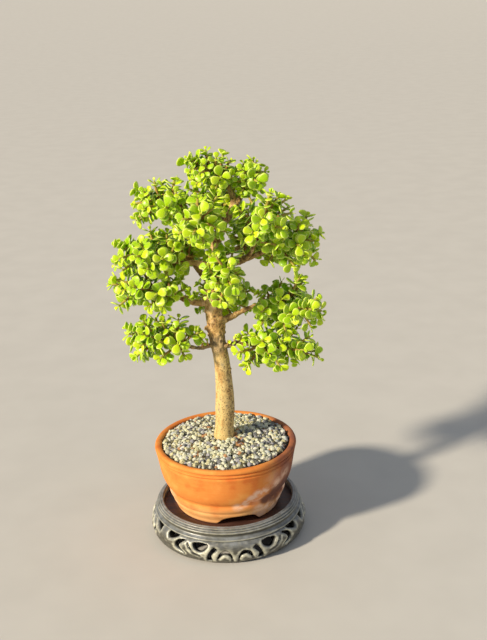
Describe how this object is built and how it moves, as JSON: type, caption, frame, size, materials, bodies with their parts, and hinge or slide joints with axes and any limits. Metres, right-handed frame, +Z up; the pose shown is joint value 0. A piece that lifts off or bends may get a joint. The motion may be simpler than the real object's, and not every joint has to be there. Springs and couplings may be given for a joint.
{
  "type": "dwarf jade bonsai",
  "caption": "Small dwarf jade bonsai with a tapering trunk and pads of plump round leaves, in a gravel-filled round clay pot on a carved openwork wooden stand.",
  "frame": {"origin": "on the ground, on the shared vertical axis of stand and pot", "axes": "+Z up, -Y towards the front of the tree, +X to the right seen from the front"},
  "size_m": [0.2863, 0.2238, 0.5478],
  "materials": {
    "wood_stand": "satin",
    "wood_panel": "satin",
    "clay": "matte",
    "plastic": "matte",
    "stones": "matte",
    "bark": "matte",
    "leaves": "satin"
  },
  "bodies": {
    "root": {"stand_frame": "wood_stand", "stand_panel": "wood_panel", "pot": "clay", "drain_mesh": "plastic", "gravel_fill": "stones", "trunk_and_branches": "bark", "spray_crown_left": "leaves", "spray_crown_right": "leaves", "spray_upper_left": "leaves", "spray_mid_left_upper": "leaves", "spray_mid_left_lower": "leaves", "spray_lower_left": "leaves", "spray_centre_upper": "leaves", "spray_centre_front": "leaves", "spray_upper_right_front": "leaves", "spray_upper_right_outer": "leaves", "spray_mid_right": "leaves", "spray_lower_right": "leaves", "spray_back_low": "leaves", "spray_back_left": "leaves", "spray_back_right": "leaves", "spray_back_upper": "leaves"}
  },
  "joints": []
}
